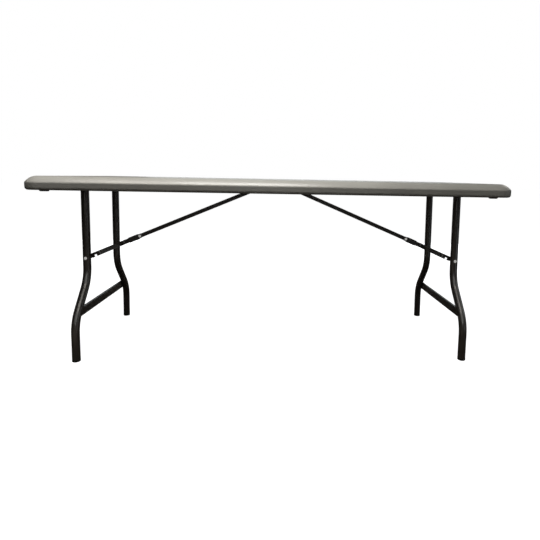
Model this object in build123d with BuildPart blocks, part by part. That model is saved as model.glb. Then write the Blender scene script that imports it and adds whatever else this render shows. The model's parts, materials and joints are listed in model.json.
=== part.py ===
"""Six-foot folding table: hollow plastic top, folding wishbone legs and two-piece braces.

Millimetres, +Z up.  The origin is on the floor under the centre of the top, X runs along
the top and -Y is the front.  The left leg and brace are modelled; the right ones mirror them.
"""

import os
from math import asin, atan2, cos, hypot, radians, sin, sqrt

from build123d import *

# --- Table top: one hollow blow-moulded shell with a deep rim and a recessed underside ---
table_height = 737.0
top_length = 1829.0
top_width = 762.0
rim_depth = 50.8
rim_width = 30.0
rim_draft = 4.0
panel_thickness = 18.0
corner_radius = 52.0
edge_bevel = 22.5
crown_radius = 46.0
bevel_edge_radius = 9.0
under_radius = 10.0
recess_corner_radius = 24.0
recess_edge_radius = 2.5
skin = 2.8

# Tack-offs: blind conical dimples where the bottom skin is pressed up to the top skin
tack_rows = 5
tack_columns = 16
tack_end_gap = 119.5
tack_side_gap = 115.0
tack_mouth_radius = 15.0
tack_tip_radius = 8.0
blow_hole_radius = 4.0
blow_hole_inset = 40.0

# Stacking pads under the rim's corners
pad_length = 29.0
pad_width = 16.0
pad_height = 4.5
pad_chamfer = 2.5
pad_end_inset = 66.0

# --- Steel side rails: channels that carry the leg hinges ---
rail_end_gap = 64.5
rail_width = 22.0
rail_height = 34.0
rail_wall = 1.5
rail_gap = 4.0
rail_screw_inset = 170.0
rail_screw_count = 6

# --- Leg frames ---
hinge_inset = 44.0
hinge_drop = 37.0
leg_splay = 1.3
leg_tube_radius = 15.875
leg_tube_wall = 1.3
leg_top_rise = 4.0
leg_half_spacing = 166.0
foot_half_spacing = 291.0
bend_radius = 137.0
bend_angle = 40.0
bend_start = 338.0
pivot_tube_radius = 9.525
pivot_tube_wall = 1.5
pivot_tube_end_gap = 1.0
crossbar_height = 39.0
crossbar_thickness = 9.0
crossbar_wall = 1.5
crossbar_drop = 520.0
crossbar_set_back = 8.0
crossbar_end_gap = 8.0
foot_height = 9.0
foot_lip = 0.3
foot_edge_radius = 2.5
foot_plug_length = 22.0
bush_wall = 1.5
bush_flange = 3.0
bush_flange_thickness = 2.0

# --- Braces: an upper link, a knuckle rivet and two spread lower arms ---
brace_x = 60.0
brace_drop = 33.0
rivet_distance = 300.0
upper_link_height = 18.0
upper_link_width = 10.0
upper_link_wall = 1.5
arm_height = 20.0
arm_thickness = 3.0
arm_tail = 80.0
arm_eye_run = 52.0
arm_bend_radius = 9.0
arm_eye_radius = 8.5
arm_neck = 14.0
arm_notch_length = 10.0
arm_notch_depth = 9.0
arm_notch_distance = 30.0
lock_length = 42.0
lock_wall = 2.0
lock_start = 9.5

# --- Centre bracket that carries both upper links ---
bracket_length = 200.0
bracket_width = 62.0
bracket_plate = 2.5
bracket_corner = 10.0
bracket_ear_thickness = 2.5
bracket_ear_radius = 11.0
bracket_screw_x = 84.0
bracket_screw_y = 21.0

# --- Rivets and screws ---
rivet_radius = 4.0
dimple_radius = 14.0
dimple_depth = 2.6
rivet_head_radius = 6.0
rivet_head_height = 3.0
screw_radius = 2.0
screw_length = 12.0
screw_head_radius = 5.0
screw_head_height = 2.4
screw_drive_width = 1.4
screw_drive_depth = 1.2

# --- Clearances ---
running_fit = 0.06
slide_gap = 0.3
weld_gap = 0.1
seat_gap = 0.05
rivet_gap = 0.4

# --- Levels and places that follow from the sizes above ---
rim_bottom = table_height - rim_depth
roof = table_height - panel_thickness
hinge_z = table_height - hinge_drop
brace_z = table_height - brace_drop
recess_length = top_length - 2 * rim_width
recess_width = top_width - 2 * rim_width
tack_pitch_x = (recess_length - 2 * tack_end_gap) / (tack_columns - 1)
tack_pitch_y = (recess_width - 2 * tack_side_gap) / (tack_rows - 1)
rail_length = recess_length - 2 * rail_end_gap
rail_inner_y = recess_width / 2 - rail_gap - rail_width
rail_screw_pitch = (rail_length - 2 * rail_screw_inset) / (rail_screw_count - 1)
hinge_x = rail_length / 2 - hinge_inset
splay = radians(leg_splay)
leg_inner_y = leg_half_spacing - leg_tube_radius

# The leg rivet at rest, and where it comes to when the leg is folded flat under the top
rivet_x = -hinge_x - rivet_distance * sin(splay)
rivet_z = hinge_z - rivet_distance * cos(splay)
folded_rivet_x = -hinge_x + rivet_distance
open_reach = hypot(-brace_x - rivet_x, brace_z - rivet_z)
folded_reach = hypot(-brace_x - folded_rivet_x, brace_z - hinge_z)

# Straight when open and folded back on itself when shut: both lengths follow
upper_link_length = (open_reach + folded_reach) / 2
lower_link_length = (open_reach - folded_reach) / 2
brace_slope = atan2(brace_z - rivet_z, -brace_x - rivet_x)
knuckle_x = -brace_x - upper_link_length * cos(brace_slope)
knuckle_z = brace_z - upper_link_length * sin(brace_slope)

# Half gaps of the knuckle, from the middle outwards
arm_inner_y = upper_link_width / 2 + rivet_gap
arm_outer_y = arm_inner_y + arm_thickness
arm_eye_y = leg_inner_y - rivet_gap - arm_thickness

# Working planes of the left side
leg_plane = Plane(
    origin=(-hinge_x, 0, hinge_z), x_dir=(0, 1, 0), z_dir=(cos(splay), 0, -sin(splay))
)
leg_side_plane = Plane(
    origin=(-hinge_x, 0, hinge_z), x_dir=(cos(splay), 0, -sin(splay)), z_dir=(0, -1, 0)
)
brace_side_plane = Plane(
    origin=(knuckle_x, 0, knuckle_z),
    x_dir=(-cos(brace_slope), 0, -sin(brace_slope)),
    z_dir=(0, 1, 0),
)
brace_plan_plane = Plane(
    origin=(knuckle_x, 0, knuckle_z),
    x_dir=(-cos(brace_slope), 0, -sin(brace_slope)),
    z_dir=(-sin(brace_slope), 0, cos(brace_slope)),
)


os.makedirs("parts", exist_ok=True)


def write(part, name):
    """Label a finished part and write it as its own STEP file."""
    part.label = name
    export_step(part, f"parts/{name}.step")


def write_pair(part, name):
    """Write a left-hand part, and its mirror image as the right-hand one."""
    write(part, f"{name}_left")
    with BuildPart() as twin:
        mirror(part, about=Plane.YZ)
    write(twin.part, f"{name}_right")


def with_rear_twin(part):
    """The front piece together with its mirror image at the rear."""
    with BuildPart() as both:
        add(part)
        mirror(part, about=Plane.XZ)
    return both.part


def rail_screw_places():
    """Screw positions along one rail, from its middle."""
    first = -rail_screw_pitch * (rail_screw_count - 1) / 2
    return [first + index * rail_screw_pitch for index in range(rail_screw_count)]


def screw_places():
    """XY positions of every screw that goes up into the panel, and its seat level."""
    rail_y = rail_inner_y + rail_width / 2
    rail_seat = roof - rail_wall
    bracket_seat = roof - bracket_plate
    places = [
        (x, side * rail_y, rail_seat) for x in rail_screw_places() for side in (-1, 1)
    ]
    places += [
        (end * bracket_screw_x, side * bracket_screw_y, bracket_seat)
        for end in (-1, 1)
        for side in (-1, 1)
    ]
    return places


def top_form(inset):
    """The top's outer form, or the space inside its skin when inset is the skin."""
    bevel = edge_bevel - (2 - sqrt(2)) * inset
    with BuildPart() as form:
        with BuildSketch(Plane.XY.offset(rim_bottom + inset)):
            RectangleRounded(
                top_length - 2 * inset, top_width - 2 * inset, corner_radius - inset
            )
        extrude(amount=rim_depth - 2 * inset)
        chamfer(form.faces().sort_by(Axis.Z)[-1].edges(), length=bevel)
        bevel_foot = table_height - inset - bevel
        bevel_edges = form.edges().filter_by_position(
            Axis.Z, bevel_foot - seat_gap, bevel_foot + seat_gap
        )
        fillet(bevel_edges, radius=bevel_edge_radius - inset)
        fillet(form.faces().sort_by(Axis.Z)[-1].edges(), radius=crown_radius - inset)
        fillet(form.faces().sort_by(Axis.Z)[0].edges(), radius=under_radius - inset)
        with BuildSketch(Plane.XY.offset(roof + inset)):
            RectangleRounded(
                recess_length - 2 * rim_draft + 2 * inset,
                recess_width - 2 * rim_draft + 2 * inset,
                recess_corner_radius + inset,
            )
        with BuildSketch(Plane.XY.offset(rim_bottom)):
            RectangleRounded(
                recess_length + 2 * inset,
                recess_width + 2 * inset,
                recess_corner_radius + inset,
            )
        loft(mode=Mode.SUBTRACT)
    return form.part


def tack_cones(inset):
    """The tack-off dimples, grown by the skin for the space inside the shell."""
    depth = panel_thickness - skin if inset == 0 else panel_thickness
    with BuildPart() as cones:
        with GridLocations(tack_pitch_x, tack_pitch_y, tack_columns, tack_rows):
            with Locations((0, 0, roof + depth / 2)):
                Cone(tack_mouth_radius + inset, tack_tip_radius + inset, depth)
    return cones.part


# --- Table top ---
with BuildPart() as hollow:
    add(top_form(skin))
    add(tack_cones(skin), mode=Mode.SUBTRACT)

with BuildPart() as table_top:
    add(top_form(0))
    rim_underside = table_top.faces().filter_by(Axis.Z).sort_by(Axis.Z)[0]
    fillet(rim_underside.inner_wires()[0].edges(), radius=recess_edge_radius)
    add(hollow.part, mode=Mode.SUBTRACT)
    add(tack_cones(0), mode=Mode.SUBTRACT)
    with Locations((recess_length / 2 - blow_hole_inset, 0, roof + skin / 2)):
        Cylinder(blow_hole_radius, 2 * skin, mode=Mode.SUBTRACT)
    with Locations([(x, y, roof + skin / 2) for x, y, _ in screw_places()]):
        Cylinder(screw_radius + seat_gap, 2 * skin, mode=Mode.SUBTRACT)
write(table_top.part, "table_top")

# --- Stacking pads ---
with BuildPart() as stacking_pads:
    pad_x = top_length - 2 * pad_end_inset - pad_length
    pad_y = top_width - rim_width - under_radius + recess_edge_radius
    with GridLocations(pad_x, pad_y, 2, 2):
        with Locations((0, 0, rim_bottom - pad_height / 2)):
            Box(pad_length, pad_width, pad_height)
    pad_bottoms = stacking_pads.faces().filter_by(Axis.Z).group_by(Axis.Z)[0]
    chamfer(pad_bottoms.edges(), length=pad_chamfer)
write(stacking_pads.part, "stacking_pads")

# --- Side rails ---
with BuildPart() as rail_front:
    with BuildSketch(Plane.YZ.offset(-rail_length / 2)):
        with Locations((-rail_inner_y - rail_width / 2, roof - rail_height / 2)):
            Rectangle(rail_width, rail_height)
        with Locations((-rail_inner_y - rail_width / 2, roof - rail_wall - rail_height / 2)):
            Rectangle(rail_width - 2 * rail_wall, rail_height, mode=Mode.SUBTRACT)
    extrude(amount=rail_length)
    with Locations([(x, -rail_inner_y - rail_width / 2, roof) for x in rail_screw_places()]):
        Cylinder(screw_radius + seat_gap, 4 * rail_wall, mode=Mode.SUBTRACT)
    for hinge_side in (-1, 1):
        with BuildSketch(Plane.XZ.offset(rail_inner_y - rail_wall)):
            with Locations((hinge_side * hinge_x, hinge_z)):
                Circle(pivot_tube_radius + running_fit + bush_wall + seat_gap)
        extrude(amount=3 * rail_wall, mode=Mode.SUBTRACT)
write(rail_front.part, "rail_front")

with BuildPart() as rail_rear:
    mirror(rail_front.part, about=Plane.XZ)
write(rail_rear.part, "rail_rear")

# --- Bushes in the rails: flanged sleeves that the pivot tubes turn in ---
with BuildPart() as bush:
    with BuildSketch(Plane.XZ.offset(rail_inner_y - bush_flange_thickness)):
        with Locations((-hinge_x, hinge_z)):
            Circle(pivot_tube_radius + running_fit + bush_wall + bush_flange)
    extrude(amount=bush_flange_thickness)
    with BuildSketch(Plane.XZ.offset(rail_inner_y)):
        with Locations((-hinge_x, hinge_z)):
            Circle(pivot_tube_radius + running_fit + bush_wall)
    extrude(amount=2 * rail_wall)
    with BuildSketch(Plane.XZ.offset(rail_inner_y - bush_flange_thickness)):
        with Locations((-hinge_x, hinge_z)):
            Circle(pivot_tube_radius + running_fit)
    extrude(amount=bush_flange_thickness + 2 * rail_wall, mode=Mode.SUBTRACT)

with BuildPart() as pivot_bushes:
    add(with_rear_twin(bush.part))
    mirror(with_rear_twin(bush.part), about=Plane.YZ)
write(pivot_bushes.part, "pivot_bushes")

# --- Screws: pan heads under the rails' webs and the bracket's plate ---
with BuildPart() as panel_screws:
    for screw_x, screw_y, seat in screw_places():
        with Locations((screw_x, screw_y, seat - screw_head_height / 2)):
            Cylinder(screw_head_radius, screw_head_height)
        with Locations((screw_x, screw_y, seat + screw_length / 2)):
            Cylinder(screw_radius, screw_length)
        with Locations((screw_x, screw_y, seat - screw_head_height + screw_drive_depth / 2)):
            Box(screw_head_radius, screw_drive_width, screw_drive_depth, mode=Mode.SUBTRACT)
            Box(screw_drive_width, screw_head_radius, screw_drive_depth, mode=Mode.SUBTRACT)
write(panel_screws.part, "panel_screws")

# --- Centre bracket ---
with BuildPart() as centre_bracket:
    with BuildSketch(Plane.XY.offset(roof - bracket_plate)):
        RectangleRounded(bracket_length, bracket_width, bracket_corner)
        with GridLocations(2 * bracket_screw_x, 2 * bracket_screw_y, 2, 2):
            Circle(screw_radius + seat_gap, mode=Mode.SUBTRACT)
    extrude(amount=bracket_plate)
    for ear_side in (-1, 1):
        ear_far_y = arm_inner_y + bracket_ear_thickness
        ear_plane = Plane.XZ.offset(arm_inner_y if ear_side > 0 else -ear_far_y)
        with BuildSketch(ear_plane):
            for ear_end in (-1, 1):
                with Locations((ear_end * brace_x, brace_z)):
                    Circle(bracket_ear_radius)
                with Locations((ear_end * brace_x, (brace_z + roof - bracket_plate) / 2)):
                    Rectangle(2 * bracket_ear_radius, roof - bracket_plate - brace_z)
            with Locations((-brace_x, brace_z), (brace_x, brace_z)):
                Circle(rivet_radius + seat_gap, mode=Mode.SUBTRACT)
        extrude(amount=bracket_ear_thickness)
write(centre_bracket.part, "centre_bracket")


def cross_rivet(plane, near, far, near_head=True, far_head=True):
    """A rivet along the plane's normal, from near to far, with domed heads at its ends."""
    with BuildPart() as rivet:
        with BuildSketch(plane.offset(near)):
            Circle(rivet_radius)
        extrude(amount=far - near)
        for present, level, way in ((near_head, near, -1), (far_head, far, 1)):
            if present:
                with BuildSketch(plane.offset(level)):
                    Circle(rivet_head_radius)
                extrude(amount=way * rivet_head_height)
        head_rims = (
            rivet.edges()
            .filter_by(GeomType.CIRCLE)
            .filter_by(lambda edge: edge.radius > rivet_radius + seat_gap)
            .group_by(Axis.Y)
        )
        if near_head:
            fillet(head_rims[0], radius=rivet_head_height - seat_gap)
        if far_head:
            fillet(head_rims[-1], radius=rivet_head_height - seat_gap)
    return rivet.part


# --- Rivets that carry the upper links in the bracket's ears ---
bracket_rivet_plane = Plane(origin=(-brace_x, 0, brace_z), z_dir=(0, 1, 0))
bracket_rivet_reach = arm_inner_y + bracket_ear_thickness + seat_gap
left_bracket_rivet = cross_rivet(
    bracket_rivet_plane, -bracket_rivet_reach, bracket_rivet_reach
)
with BuildPart() as bracket_rivets:
    add(left_bracket_rivet)
    mirror(left_bracket_rivet, about=Plane.YZ)
write(bracket_rivets.part, "bracket_rivets")

# --- Pivot tube: turns in the rails' bushes ---
with BuildPart() as pivot_tube:
    pivot_tube_half = rail_inner_y + rail_width - rail_wall - pivot_tube_end_gap
    with BuildSketch(Plane.XZ.offset(-pivot_tube_half)):
        with Locations((-hinge_x, hinge_z)):
            Circle(pivot_tube_radius)
            Circle(pivot_tube_radius - pivot_tube_wall, mode=Mode.SUBTRACT)
    extrude(amount=2 * pivot_tube_half)
write_pair(pivot_tube.part, "pivot_tube")

# --- Leg tube: straight down, out through an S-bend and straight down to the foot ---
leg_length = (hinge_z - foot_height) / cos(splay)
bend_side_step = bend_radius * (1 - cos(radians(bend_angle)))
bend_run = (foot_half_spacing - leg_half_spacing - 2 * bend_side_step) / sin(
    radians(bend_angle)
)


def leg_sweep(radius):
    """A round bar along the rear left leg's S-shaped centreline."""
    with BuildPart() as swept:
        with BuildLine(leg_plane) as centreline:
            upper_run = Line(
                (leg_half_spacing, leg_top_rise), (leg_half_spacing, -bend_start)
            )
            out_bend = JernArc(upper_run @ 1, upper_run % 1, bend_radius, bend_angle)
            slope_run = PolarLine(out_bend @ 1, bend_run, direction=out_bend % 1)
            down_bend = JernArc(slope_run @ 1, slope_run % 1, bend_radius, -bend_angle)
            Line(down_bend @ 1, (foot_half_spacing, -leg_length))
        with BuildSketch(centreline.line ^ 0):
            Circle(radius)
        sweep()
    return swept.part


# The tube is pressed in around the leg rivet's head: outside and inside follow one wall
dimple_centre_y = leg_half_spacing + leg_tube_radius + dimple_radius - dimple_depth
with BuildPart() as leg_bore:
    add(leg_sweep(leg_tube_radius - leg_tube_wall))
    with Locations((rivet_x, dimple_centre_y, rivet_z)):
        Sphere(dimple_radius + leg_tube_wall, mode=Mode.SUBTRACT)

with BuildPart() as leg_tube_rear:
    add(leg_sweep(leg_tube_radius))
    with Locations((rivet_x, dimple_centre_y, rivet_z)):
        Sphere(dimple_radius, mode=Mode.SUBTRACT)
    add(leg_bore.part, mode=Mode.SUBTRACT)
    with BuildSketch(Plane.XZ.offset(-leg_half_spacing - 2 * leg_tube_radius)):
        with Locations((-hinge_x, hinge_z)):
            Circle(pivot_tube_radius + weld_gap)
        with Locations((rivet_x, rivet_z)):
            Circle(rivet_radius + seat_gap)
    extrude(amount=4 * leg_tube_radius, mode=Mode.SUBTRACT)
write_pair(leg_tube_rear.part, "leg_tube_rear")

with BuildPart() as leg_tube_front:
    mirror(leg_tube_rear.part, about=Plane.XZ)
write_pair(leg_tube_front.part, "leg_tube_front")

# --- Crossbar: a flattened tube between the legs, set back to clear the folded brace ---
bend_end = (
    bend_start
    + 2 * bend_radius * sin(radians(bend_angle))
    + bend_run * cos(radians(bend_angle))
)
bend_turn_at_bar = asin(min(max((bend_end - crossbar_drop) / bend_radius, 0), 1))
leg_y_at_bar = foot_half_spacing - bend_radius * (1 - cos(bend_turn_at_bar))
crossbar_half = leg_y_at_bar - crossbar_end_gap

with BuildPart() as crossbar:
    with BuildSketch(leg_side_plane.offset(-crossbar_half)):
        with Locations((-crossbar_set_back - crossbar_thickness / 2, -crossbar_drop)):
            SlotOverall(crossbar_height, crossbar_thickness, rotation=90)
            SlotOverall(
                crossbar_height - 2 * crossbar_wall,
                crossbar_thickness - 2 * crossbar_wall,
                rotation=90,
                mode=Mode.SUBTRACT,
            )
    extrude(amount=2 * crossbar_half)
    leg_envelope = with_rear_twin(leg_sweep(leg_tube_radius + weld_gap))
    add(leg_envelope, mode=Mode.SUBTRACT)
write_pair(crossbar.part, "crossbar")

# --- Feet: plastic plugs in the tubes' ends, cut level with the floor ---
foot_plane = Plane(
    origin=leg_plane.from_local_coords((foot_half_spacing, -leg_length, 0)),
    z_dir=-leg_plane.y_dir,
)
with BuildPart() as foot:
    with BuildSketch(foot_plane):
        Circle(leg_tube_radius + foot_lip)
    extrude(amount=2 * foot_height)
    split(bisect_by=Plane.XY, keep=Keep.TOP)
    fillet(foot.faces().sort_by(Axis.Z)[0].edges(), radius=foot_edge_radius)
    with BuildSketch(foot_plane):
        Circle(leg_tube_radius - leg_tube_wall - seat_gap)
    extrude(amount=-foot_plug_length)
write_pair(with_rear_twin(foot.part), "feet")

# --- Leg rivets: their shanks end inside the tubes, clear of the arms' eyes ---
leg_rivet_plane = Plane(origin=(rivet_x, 0, rivet_z), z_dir=(0, 1, 0))
head_seat_y = dimple_centre_y - sqrt(dimple_radius**2 - rivet_head_radius**2) + seat_gap
rear_leg_rivet = cross_rivet(leg_rivet_plane, leg_inner_y, head_seat_y, near_head=False)
write_pair(with_rear_twin(rear_leg_rivet), "leg_rivets")

# --- Upper link: a channel, open below, from the bracket down to the knuckle ---
with BuildPart() as upper_link:
    with BuildSketch(brace_side_plane):
        with Locations((-upper_link_length / 2, 0)):
            SlotCenterToCenter(upper_link_length, upper_link_height)
    extrude(amount=upper_link_width / 2, both=True)
    with BuildSketch(brace_side_plane):
        with Locations((-upper_link_length / 2, -upper_link_wall)):
            Rectangle(upper_link_length + 2 * upper_link_height, upper_link_height)
    extrude(
        amount=upper_link_width / 2 - upper_link_wall, both=True, mode=Mode.SUBTRACT
    )
    with BuildSketch(brace_side_plane):
        with Locations((0, 0), (-upper_link_length, 0)):
            Circle(rivet_radius + running_fit)
    extrude(amount=upper_link_width, both=True, mode=Mode.SUBTRACT)
write_pair(upper_link.part, "upper_link")

# --- Lower arms: bent flat bars, parallel at the knuckle and spread out to the legs ---
with BuildPart() as lower_arm_front:
    with BuildSketch(brace_plan_plane):
        with BuildLine():
            FilletPolyline(
                (-arm_height, arm_inner_y + arm_thickness / 2),
                (arm_tail, arm_inner_y + arm_thickness / 2),
                (lower_link_length - arm_eye_run, arm_eye_y + arm_thickness / 2),
                (lower_link_length + arm_height, arm_eye_y + arm_thickness / 2),
                radius=arm_bend_radius,
            )
        trace(line_width=arm_thickness)
    extrude(amount=arm_height, both=True)
    with BuildSketch(brace_side_plane):
        Circle(arm_height / 2)
        with Locations((lower_link_length, 0)):
            Circle(arm_eye_radius)
        with Locations(((lower_link_length - arm_neck) / 2, 0)):
            Rectangle(lower_link_length - arm_neck, arm_height)
        with Locations((lower_link_length - arm_neck / 2, 0)):
            Rectangle(arm_neck, 2 * arm_eye_radius)
        with Locations((lower_link_length - arm_notch_distance, -arm_height / 2)):
            Rectangle(arm_notch_length, 2 * arm_notch_depth, mode=Mode.SUBTRACT)
        with Locations((0, 0), (lower_link_length, 0)):
            Circle(rivet_radius + seat_gap, mode=Mode.SUBTRACT)
    extrude(amount=leg_half_spacing, both=True, mode=Mode.INTERSECT)
write_pair(lower_arm_front.part, "lower_arm_front")

with BuildPart() as lower_arm_rear:
    mirror(lower_arm_front.part, about=Plane.XZ)
write_pair(lower_arm_rear.part, "lower_arm_rear")

# --- Arm rivets: the inner ends of the leg joints, which stay with the arms ---
rear_arm_rivet = cross_rivet(
    leg_rivet_plane,
    arm_eye_y - seat_gap,
    arm_eye_y + arm_thickness,
    far_head=False,
)
write_pair(with_rear_twin(rear_arm_rivet), "arm_rivets")

# --- Knuckle rivet: through both arms and the end of the upper link ---
knuckle_plane = Plane(origin=(knuckle_x, 0, knuckle_z), z_dir=(0, 1, 0))
knuckle_rivet = cross_rivet(
    knuckle_plane, -arm_outer_y - seat_gap, arm_outer_y + seat_gap
)
write_pair(knuckle_rivet, "knuckle_rivet")

# --- Lock slider: a saddle on the two arms, open below so that the upper link folds in ---
lock_plane = Plane(
    origin=brace_side_plane.from_local_coords((lock_start, 0, 0)),
    x_dir=(0, 1, 0),
    z_dir=brace_side_plane.x_dir,
)
with BuildPart() as lock_slider:
    with BuildSketch(lock_plane):
        Rectangle(
            2 * (arm_outer_y + slide_gap + lock_wall),
            arm_height + 2 * (slide_gap + lock_wall),
        )
        Rectangle(
            2 * (arm_outer_y + slide_gap), arm_height + 2 * slide_gap, mode=Mode.SUBTRACT
        )
    extrude(amount=lock_length)
    with BuildSketch(brace_side_plane):
        with Locations((lock_start + lock_length / 2, -arm_height)):
            Rectangle(2 * lock_length, arm_height)
    extrude(amount=arm_inner_y, both=True, mode=Mode.SUBTRACT)
write_pair(lock_slider.part, "lock_slider")
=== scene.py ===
"""Looks for the folding table: finishes, weld beads, mould line, floor, light and camera.

Metres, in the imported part's own frame.  The part's solids keep their shapes and only take
finishes here.  The weld beads and the mould line are the pieces that this script adds.
"""

import json
import math

import bmesh
import bpy
from mathutils import Matrix, Vector
from mathutils.bvhtree import BVHTree


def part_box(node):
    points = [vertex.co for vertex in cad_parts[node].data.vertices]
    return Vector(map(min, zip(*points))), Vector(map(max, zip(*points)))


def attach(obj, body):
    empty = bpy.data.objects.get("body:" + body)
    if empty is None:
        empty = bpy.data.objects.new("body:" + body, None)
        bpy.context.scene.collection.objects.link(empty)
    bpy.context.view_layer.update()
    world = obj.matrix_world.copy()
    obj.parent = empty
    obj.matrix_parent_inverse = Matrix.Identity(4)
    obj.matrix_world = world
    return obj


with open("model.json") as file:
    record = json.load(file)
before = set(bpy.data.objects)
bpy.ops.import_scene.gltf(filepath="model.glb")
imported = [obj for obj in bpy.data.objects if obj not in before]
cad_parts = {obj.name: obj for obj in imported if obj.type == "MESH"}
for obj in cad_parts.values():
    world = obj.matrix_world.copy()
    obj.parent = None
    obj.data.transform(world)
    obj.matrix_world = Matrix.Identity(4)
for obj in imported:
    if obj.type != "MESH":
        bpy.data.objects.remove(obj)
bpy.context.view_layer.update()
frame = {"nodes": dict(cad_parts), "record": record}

nodes = frame["nodes"]

# ---------------------------------------------------------------- material helpers
# The Mix node's colour sockets share their names with its other sockets, so they go by place
MIX_COLOR_A, MIX_COLOR_B, MIX_COLOR_RESULT = 6, 7, 2
# A noise texture seldom leaves this range
NOISE_LOW, NOISE_HIGH = 0.3, 0.7


class Finish:
    """A principled material with a few short ways to add procedural detail."""

    def __init__(self, name, color, roughness, metallic=0.0, specular=0.5):
        self.material = bpy.data.materials.new(name)
        self.material.use_nodes = True
        self.tree = self.material.node_tree
        self.shader = self.tree.nodes["Principled BSDF"]
        self.shader.inputs["Base Color"].default_value = (*color, 1)
        self.shader.inputs["Roughness"].default_value = roughness
        self.shader.inputs["Metallic"].default_value = metallic
        self.shader.inputs["Specular IOR Level"].default_value = specular
        self.coords = self.tree.nodes.new("ShaderNodeTexCoord").outputs["Object"]

    def node(self, kind, **values):
        made = self.tree.nodes.new(kind)
        for key, value in values.items():
            setattr(made, key, value)
        return made

    def link(self, source, target):
        self.tree.links.new(source, target)

    def stretched(self, stretch):
        """Object coordinates multiplied by stretch along X, Y and Z."""
        mapping = self.node("ShaderNodeMapping")
        mapping.inputs["Scale"].default_value = stretch
        self.link(self.coords, mapping.inputs["Vector"])
        return mapping.outputs["Vector"]

    def noise(self, size, detail=3.0, roughness=0.5, stretch=None):
        """Noise whose features are about size metres across."""
        texture = self.node("ShaderNodeTexNoise")
        texture.inputs["Scale"].default_value = 1 / size
        texture.inputs["Detail"].default_value = detail
        texture.inputs["Roughness"].default_value = roughness
        vector = self.stretched(stretch) if stretch else self.coords
        self.link(vector, texture.inputs["Vector"])
        return texture.outputs["Fac"]

    def cells(self, size, smoothness=0.6):
        """Rounded cells about size metres across, for moulded grain."""
        texture = self.node("ShaderNodeTexVoronoi", feature="SMOOTH_F1")
        texture.inputs["Scale"].default_value = 1 / size
        texture.inputs["Smoothness"].default_value = smoothness
        self.link(self.coords, texture.inputs["Vector"])
        return texture.outputs["Distance"]

    def ramp(self, value, low, high, low_out=0.0, high_out=1.0):
        """value mapped from low..high to low_out..high_out, clamped."""
        mapped = self.node("ShaderNodeMapRange")
        mapped.inputs["From Min"].default_value = low
        mapped.inputs["From Max"].default_value = high
        mapped.inputs["To Min"].default_value = low_out
        mapped.inputs["To Max"].default_value = high_out
        self.link(value, mapped.inputs["Value"])
        return mapped.outputs["Result"]

    def mix(self, factor, color_a, color_b):
        """A colour between two, each a colour or a socket."""
        made = self.node("ShaderNodeMix", data_type="RGBA")
        self.link(factor, made.inputs["Factor"])
        for place, value in ((MIX_COLOR_A, color_a), (MIX_COLOR_B, color_b)):
            socket = made.inputs[place]
            if isinstance(value, tuple):
                socket.default_value = (*value, 1)
            else:
                self.link(value, socket)
        return made.outputs[MIX_COLOR_RESULT]

    def color(self, socket):
        self.link(socket, self.shader.inputs["Base Color"])

    def rough(self, texture, low, high):
        """Roughness that wanders between low and high with a noise texture."""
        wandering = self.ramp(texture, NOISE_LOW, NOISE_HIGH, low, high)
        self.link(wandering, self.shader.inputs["Roughness"])

    def glow(self, color, strength):
        self.shader.inputs["Emission Color"].default_value = (*color, 1)
        self.shader.inputs["Emission Strength"].default_value = strength

    def bump(self, height, depth, strength=1.0):
        """Adds a bump of the given depth in metres on top of any bump already there."""
        made = self.node("ShaderNodeBump")
        made.inputs["Strength"].default_value = strength
        made.inputs["Distance"].default_value = depth
        self.link(height, made.inputs["Height"])
        normal = self.shader.inputs["Normal"]
        if normal.is_linked:
            self.link(normal.links[0].from_socket, made.inputs["Normal"])
        self.link(made.outputs["Normal"], normal)


# ---------------------------------------------------------------- finishes
# Every finish keeps its roughness at 0.28 or more: from about 0.274 down the denoiser leaves marks


def top_plastic():
    """Pebbled grey polyethylene: fine grain, faint mottling and long faint rub streaks."""
    grey, dark_grey, light_grey = (0.294, 0.288, 0.270), (0.272, 0.267, 0.249), (0.308, 0.303, 0.284)
    speckle_grey, streak_grey = (0.37, 0.365, 0.345), (0.36, 0.355, 0.335)
    along_top = (0.12, 1.0, 1.0)
    finish = Finish("top_plastic", grey, 0.30, specular=0.36)
    mottle = finish.ramp(finish.noise(0.16, detail=4.0), 0.35, 0.65)
    shade = finish.mix(mottle, dark_grey, light_grey)
    speckle = finish.ramp(finish.noise(0.0016, detail=2.0), 0.3, 0.75, 0.0, 0.30)
    shade = finish.mix(speckle, shade, speckle_grey)
    streaks = finish.ramp(finish.noise(0.05, stretch=along_top), 0.45, 0.85, 0.0, 0.35)
    finish.color(finish.mix(streaks, shade, streak_grey))
    finish.rough(finish.noise(0.05), 0.285, 0.345)
    pebbles = finish.cells(0.0034)
    fine_grain = finish.noise(0.0009, detail=2.0)
    waves = finish.noise(0.07, detail=1.0)
    finish.bump(pebbles, depth=0.00024, strength=0.6)
    finish.bump(fine_grain, depth=0.0001, strength=0.4)
    finish.bump(waves, depth=0.0001, strength=0.3)
    return finish.material


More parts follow.
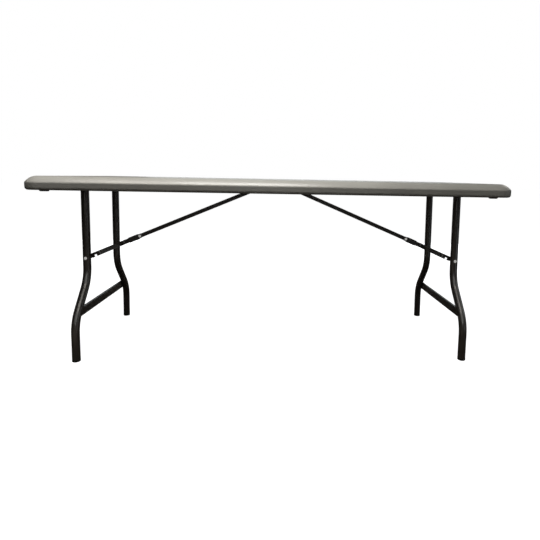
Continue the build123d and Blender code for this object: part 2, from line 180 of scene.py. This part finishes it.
def powder_coat(name, color, roughness, wear=0.0):
    """Black powder coat: orange peel, faint dust and, with wear, paler rubbed patches."""
    bare_grey = (0.10, 0.098, 0.095)
    dust = tuple(channel * 1.7 + 0.003 for channel in color)
    finish = Finish(name, color, roughness, specular=1.0)
    finish.shader.inputs["IOR"].default_value = 1.8
    clouds = finish.ramp(finish.noise(0.03, detail=2.0), 0.42, 0.8, 0.0, 0.7)
    shade = finish.mix(clouds, color, dust)
    if wear:
        rubbed = finish.ramp(finish.noise(0.006, detail=7.0, roughness=0.75), 0.60, 0.72, 0.0, wear)
        shade = finish.mix(rubbed, shade, bare_grey)
    finish.color(shade)
    finish.rough(finish.noise(0.02), roughness - 0.02, roughness + 0.02)
    orange_peel = finish.noise(0.0024, detail=2.0)
    fine_grain = finish.noise(0.0006, detail=1.0)
    finish.bump(orange_peel, depth=0.00002, strength=0.5)
    finish.bump(fine_grain, depth=0.000006, strength=0.4)
    return finish.material


def zinc(name, tint, roughness, metallic=1.0, glow=0.0):
    """Zinc plate with dull specks; a little glow paints a sheen on small heads, standing for the
    light they catch from all round.
    """
    grime = tuple(channel * 0.5 for channel in tint)
    finish = Finish(name, tint, roughness, metallic=metallic)
    finish.glow(tint, glow)
    stains = finish.ramp(finish.noise(0.004, detail=6.0, roughness=0.7), 0.56, 0.80, 0.0, 0.7)
    finish.color(finish.mix(stains, tint, grime))
    finish.rough(finish.noise(0.0012, detail=4.0), roughness - 0.06, roughness + 0.14)
    finish.bump(finish.noise(0.0007), depth=0.00004, strength=0.5)
    return finish.material


def dull_plastic(name, color, roughness, grain=0.0015):
    """Moulded dark plastic or rubber: fine grain, with paler scuffed patches."""
    pale = tuple(channel * 2.4 + 0.02 for channel in color)
    finish = Finish(name, color, roughness, specular=0.4)
    scuffs = finish.ramp(finish.noise(0.008, detail=6.0, roughness=0.7), 0.52, 0.75, 0.0, 0.6)
    finish.color(finish.mix(scuffs, color, pale))
    finish.rough(finish.noise(0.01, detail=4.0), roughness - 0.06, roughness + 0.08)
    finish.bump(finish.cells(grain), depth=grain * 0.08, strength=0.5)
    return finish.material


finishes = {
    "top_plastic": top_plastic(),
    "pad_rubber": dull_plastic("pad_rubber", (0.030, 0.030, 0.029), 0.62),
    "rail_steel": powder_coat("rail_steel", (0.020, 0.020, 0.020), 0.46),
    "frame_steel": powder_coat("frame_steel", (0.031, 0.0255, 0.0205), 0.305),
    "foot_plastic": dull_plastic("foot_plastic", (0.014, 0.014, 0.014), 0.55),
    "bush_plastic": dull_plastic("bush_plastic", (0.045, 0.045, 0.045), 0.45),
    "screw_steel": zinc("screw_steel", (0.62, 0.61, 0.57), 0.34),
    # The rivet heads' glow is a painted sheen: an emission that stands in for the highlights the
    # heads catch
    "rivet_steel": zinc("rivet_steel", (0.94, 0.93, 0.90), 0.36, metallic=0.1, glow=0.30),
    "lock_steel": powder_coat("lock_steel", (0.012, 0.012, 0.012), 0.40, wear=0.5),
}
slot_of = {row["node"]: row["material_slot"] for row in frame["record"]["subparts"]}
for node_name, node in nodes.items():
    for material_slot in node.material_slots:
        material_slot.material = finishes[slot_of[node_name]]


# ---------------------------------------------------------------- round beads
BEAD_SPACING = 0.0009
BEAD_SIDES = 8


def resampled(points, spacing, closed):
    """The same path with points an even spacing apart."""
    ring = points + points[:1] if closed else points
    path = []
    for start, end in zip(ring, ring[1:]):
        steps = max(1, round((end - start).length / spacing))
        path += [start.lerp(end, step / steps) for step in range(steps)]
    return path if closed else path + [ring[-1]]


def bead_thickness(index, count, closed, ripple):
    """How thick a bead is at a point, as a share of its radius: uneven, and thin at open ends."""
    quick_wave = math.sin(index * 2.1)
    slow_wave = 0.6 * math.sin(index * 0.37 + 1.0)
    share = 1 + ripple * (quick_wave + slow_wave)
    if not closed:
        steps_from_end = min(index, count - 1 - index)
        share *= min(1.0, 0.35 + 0.2 * steps_from_end)
    return share


def bead_ring(form, point, along, thick):
    """One ring of corners round a point of a bead's path, square to the way along it."""
    across = along.cross(Vector((0, 1, 0)))
    path_runs_along_y = across.length <= 0.1
    if path_runs_along_y:
        across = along.cross(Vector((0, 0, 1)))
    across.normalize()
    up = along.cross(across)
    corners = []
    for side in range(BEAD_SIDES):
        angle = 2 * math.pi * side / BEAD_SIDES
        corner = point + across * thick * math.cos(angle) + up * thick * math.sin(angle)
        corners.append(form.verts.new(corner))
    return corners


def bead(name, points, radius, body, slot, closed=True, ripple=0.0):
    """A round bead along a path; with ripple its thickness rises and falls like laid weld."""
    path = resampled(points, BEAD_SPACING, closed)
    count = len(path)
    form = bmesh.new()
    rings = []
    for index, point in enumerate(path):
        before = path[index - 1] if closed or index else point
        after = path[(index + 1) % count] if closed or index + 1 < count else point
        thick = radius * bead_thickness(index, count, closed, ripple)
        rings.append(bead_ring(form, point, (after - before).normalized(), thick))
    following_rings = rings[1:] + rings[:1] if closed else rings[1:]
    for ring, following in zip(rings, following_rings):
        for side in range(BEAD_SIDES):
            beside = (side + 1) % BEAD_SIDES
            form.faces.new((ring[side], ring[beside], following[beside], following[side]))
    if not closed:
        form.faces.new(rings[0])
        form.faces.new(rings[-1])
    bmesh.ops.recalc_face_normals(form, faces=form.faces)
    mesh = bpy.data.meshes.new(name)
    form.to_mesh(mesh)
    form.free()
    mesh.shade_smooth()
    mesh.materials.append(finishes[slot])
    made = bpy.data.objects.new(name, mesh)
    bpy.context.collection.objects.link(made)
    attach(made, body)


# ---------------------------------------------------------------- welds of the leg frames
WELD_RADIUS = 0.0017
WELD_RIPPLE = 0.16
# Keeps the pivot tube's outline off the leg tube's own hole, where a ray would meet nothing
HOLE_MARGIN = 0.0008
BAR_OUTLINE_POINTS = 48
PIN_OUTLINE_POINTS = 36


def surface(node_name):
    """The node's faces in the shared frame, ready to be met by rays."""
    node = nodes[node_name]
    corners = [node.matrix_world @ vertex.co for vertex in node.data.vertices]
    return BVHTree.FromPolygons(corners, [tuple(face.vertices) for face in node.data.polygons])


def middle_and_half(node_name):
    """The middle of a node's box, and half its size each way."""
    low, high = (Vector(corner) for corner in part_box(node_name))
    return (low + high) / 2, (high - low) / 2


def slot_outline(middle, half_width, half_height, count):
    """Points round an upright slot in the XZ plane: half circles above and below straight sides."""
    straight = half_height - half_width
    points = []
    for step in range(count):
        angle = 2 * math.pi * step / count
        lift = math.copysign(straight, math.sin(angle)) if straight > 0 else 0.0
        x = middle.x + half_width * math.cos(angle)
        z = middle.z + half_width * math.sin(angle) + lift
        points.append((x, z))
    return points


def longest_run(hits):
    """The longest unbroken run of hits round an outline that has at least one miss."""
    gap = hits.index(None)
    runs = [[]]
    for hit in hits[gap:] + hits[:gap]:
        if hit:
            runs[-1].append(hit)
        elif runs[-1]:
            runs.append([])
    return max(runs, key=len)


def weld(name, outline, start_y, toward, tube, body):
    """A bead where an outline carried along Y meets a leg tube; it stops where the tube ends."""
    ray = Vector((0, toward, 0))
    hits = [tube.ray_cast(Vector((x, start_y, z)), ray)[0] for x, z in outline]
    closed = all(hits)
    path = hits if closed else longest_run(hits)
    bead(name, path, WELD_RADIUS, body, "frame_steel", closed, WELD_RIPPLE)


for side in ("left", "right"):
    bar, bar_half = middle_and_half(f"crossbar_{side}")
    bar_outline = slot_outline(bar, bar_half.x, bar_half.z, BAR_OUTLINE_POINTS)
    pin, pin_half = middle_and_half(f"pivot_tube_{side}")
    pin_radius = pin_half.z + HOLE_MARGIN
    pin_outline = slot_outline(pin, pin_radius, pin_radius, PIN_OUTLINE_POINTS)
    pin_end_y = pin.y + pin_half.y
    body = f"leg_frame_{side}"
    for row, toward in (("front", -1), ("rear", 1)):
        tube = surface(f"leg_tube_{row}_{side}")
        weld(f"crossbar_weld_{row}_{side}", bar_outline, 0.0, toward, tube, body)
        weld(f"pivot_weld_inner_{row}_{side}", pin_outline, 0.0, toward, tube, body)
        weld(f"pivot_weld_outer_{row}_{side}", pin_outline, toward * pin_end_y, -toward, tube, body)


# ---------------------------------------------------------------- mould line
# Corners this close together are joined before the cut
MERGE_DISTANCE = 1e-6


def mould_line(height, radius):
    """The fine raised line left round the rim where the halves of the mould met."""
    node = nodes["table_top"]
    form = bmesh.new()
    form.from_mesh(node.data)
    form.transform(node.matrix_world)
    bmesh.ops.remove_doubles(form, verts=form.verts, dist=MERGE_DISTANCE)
    rim_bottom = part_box("table_top")[0][2]
    bmesh.ops.bisect_plane(
        form,
        geom=form.verts[:] + form.edges[:] + form.faces[:],
        plane_co=(0, 0, rim_bottom + height),
        plane_no=(0, 0, 1),
        clear_inner=True,
        clear_outer=True,
    )
    # The cut leaves several loops; the one that holds the outermost corner goes round the rim
    start = max(form.verts, key=lambda vertex: (vertex.co.x, vertex.co.y))
    path, last, here = [], None, start
    while not path or here != start:
        path.append(here.co.copy())
        beyond = [edge.other_vert(here) for edge in here.link_edges if edge.other_vert(here) != last]
        last, here = here, beyond[0]
    form.free()
    bead("mould_line", path, radius, "top", "top_plastic")


mould_line(height=0.006, radius=0.00035)


# ---------------------------------------------------------------- floor and background
def plain_floor(span, glow, bounce):
    """A pale floor, seen from above only, that throws little light back up at the table."""
    mesh = bpy.data.meshes.new("floor")
    form = bmesh.new()
    bmesh.ops.create_grid(form, x_segments=1, y_segments=1, size=span / 2)
    form.to_mesh(mesh)
    form.free()
    plane = bpy.data.objects.new("floor", mesh)
    bpy.context.collection.objects.link(plane)
    pale = Finish("floor", (0.80, 0.80, 0.80), 0.9, specular=0.1)
    pale.glow((1, 1, 1), glow)
    dark = pale.node("ShaderNodeBsdfDiffuse")
    dark.inputs["Color"].default_value = (*bounce, 1)
    path = pale.node("ShaderNodeLightPath")
    seen = pale.node("ShaderNodeMixShader")
    pale.link(path.outputs["Is Camera Ray"], seen.inputs[0])
    pale.link(dark.outputs["BSDF"], seen.inputs[1])
    pale.link(pale.shader.outputs["BSDF"], seen.inputs[2])
    face = pale.node("ShaderNodeNewGeometry")
    clear = pale.node("ShaderNodeBsdfTransparent")
    sided = pale.node("ShaderNodeMixShader")
    pale.link(face.outputs["Backfacing"], sided.inputs[0])
    pale.link(seen.outputs["Shader"], sided.inputs[1])
    pale.link(clear.outputs["BSDF"], sided.inputs[2])
    output = pale.tree.nodes["Material Output"]
    pale.link(sided.outputs["Shader"], output.inputs["Surface"])
    mesh.materials.append(pale.material)


def white_world(seen, lighting):
    """Plain white behind the object, with a softer level that lights it."""
    world = bpy.data.worlds.new("studio")
    bpy.context.scene.world = world
    world.use_nodes = True
    tree = world.node_tree
    background = tree.nodes["Background"]
    background.inputs["Color"].default_value = (1, 1, 1, 1)
    path = tree.nodes.new("ShaderNodeLightPath")
    level = tree.nodes.new("ShaderNodeMapRange")
    level.inputs["To Min"].default_value = lighting
    level.inputs["To Max"].default_value = seen
    tree.links.new(path.outputs["Is Camera Ray"], level.inputs["Value"])
    tree.links.new(level.outputs["Result"], background.inputs["Strength"])


plain_floor(span=60.0, glow=0.99, bounce=(0.05, 0.042, 0.035))
white_world(seen=1.0, lighting=0.02)


# ---------------------------------------------------------------- lamps
def softbox(name, place, target, size, power, color, diffuse=True, glossy=True):
    """An area lamp that the camera doesn't see; it can be kept out of diffuse or glossy light."""
    data = bpy.data.lights.new(name, "AREA")
    data.shape = "RECTANGLE"
    data.size, data.size_y = size
    data.energy = power
    data.color = color
    lamp = bpy.data.objects.new(name, data)
    bpy.context.collection.objects.link(lamp)
    lamp.location = place
    aim = Vector(target) - Vector(place)
    lamp.rotation_euler = aim.to_track_quat("-Z", "Y").to_euler()
    lamp.visible_camera = False
    lamp.visible_diffuse = diffuse
    lamp.visible_glossy = glossy


# Sizes are width and height in metres, and powers are in watts
softbox("overhead_mid", place=(-0.20, -0.47, 1.90), target=(-0.20, -0.38, 0.7), size=(0.85, 0.36),
        power=21, color=(1.0, 0.985, 0.94))
softbox("overhead_left", place=(-0.95, -0.50, 1.90), target=(-0.80, -0.38, 0.7), size=(0.60, 0.36),
        power=7, color=(1.0, 0.95, 0.88))
softbox("front_strip", place=(0.1, -1.8, 2.6), target=(0.05, -0.2, 0.3), size=(2.4, 0.5),
        power=9.5, color=(1.0, 0.95, 0.87))
softbox("front_wall", place=(0.0, -3.6, 2.3), target=(0.0, 0.0, 0.4), size=(5.0, 1.8),
        power=14, color=(0.98, 1.0, 0.97))
softbox("front_low", place=(0.0, -2.5, 0.95), target=(0.0, 0.0, 0.5), size=(0.5, 0.4),
        power=1.3, color=(1.0, 0.98, 0.95), diffuse=False)
softbox("right_floor", place=(2.1, -1.55, 0.14), target=(-0.70, -0.10, 0.42), size=(1.2, 0.25),
        power=0.6, color=(0.92, 0.97, 1.0))
softbox("right_window", place=(2.7, -0.5, 1.3), target=(0.6, 0.0, 0.6), size=(1.2, 1.2),
        power=3, color=(0.97, 1.0, 1.0))
softbox("back_low", place=(0.9, 3.2, 1.05), target=(0.3, 0.0, 0.7), size=(5.2, 0.9),
        power=18, color=(0.90, 0.97, 1.0))
softbox("back_floor", place=(0.0, 3.0, 0.28), target=(0.0, 0.0, 0.55), size=(5.0, 0.5),
        power=16, color=(0.95, 0.98, 1.0), glossy=False)
softbox("under_back", place=(0.0, 0.55, 0.04), target=(0.0, 0.15, 0.70), size=(2.0, 0.4),
        power=6, color=(1.0, 0.99, 0.96), glossy=False)
softbox("floor_sheen", place=(-0.45, -0.95, 0.01), target=(-0.45, -0.95, 1.0), size=(1.9, 0.9),
        power=0.5, color=(1.0, 0.87, 0.74), diffuse=False)
softbox("right_back", place=(2.5, 1.2, 1.9), target=(0.8, -0.3, 0.7), size=(0.7, 0.7),
        power=5, color=(1.0, 0.97, 0.92))
softbox("back_high", place=(0.0, 2.4, 2.8), target=(0.0, 0.0, 0.7), size=(3.0, 1.0),
        power=3, color=(0.85, 0.95, 1.0))


# ---------------------------------------------------------------- camera
def photo_camera(place, yaw, pitch, roll):
    """The camera at the photograph's viewing angle; pitch is how far it looks down, in radians."""
    data = bpy.data.cameras.new("camera")
    data.sensor_width = 36.0
    data.lens = 28.49
    data.shift_x = -0.0556
    data.shift_y = -0.0537
    made = bpy.data.objects.new("camera", data)
    bpy.context.collection.objects.link(made)
    turn = (
        Matrix.Rotation(yaw, 4, "Z")
        @ Matrix.Rotation(math.pi / 2 - pitch, 4, "X")
        @ Matrix.Rotation(roll, 4, "Z")
    )
    made.matrix_world = Matrix.Translation(place) @ turn
    return made


bpy.context.scene.camera = photo_camera(
    place=(0.0086, -1.9652, 0.7503), yaw=-0.0547, pitch=0.1487, roll=0.0190
)
bpy.context.scene.view_settings.view_transform = "Standard"
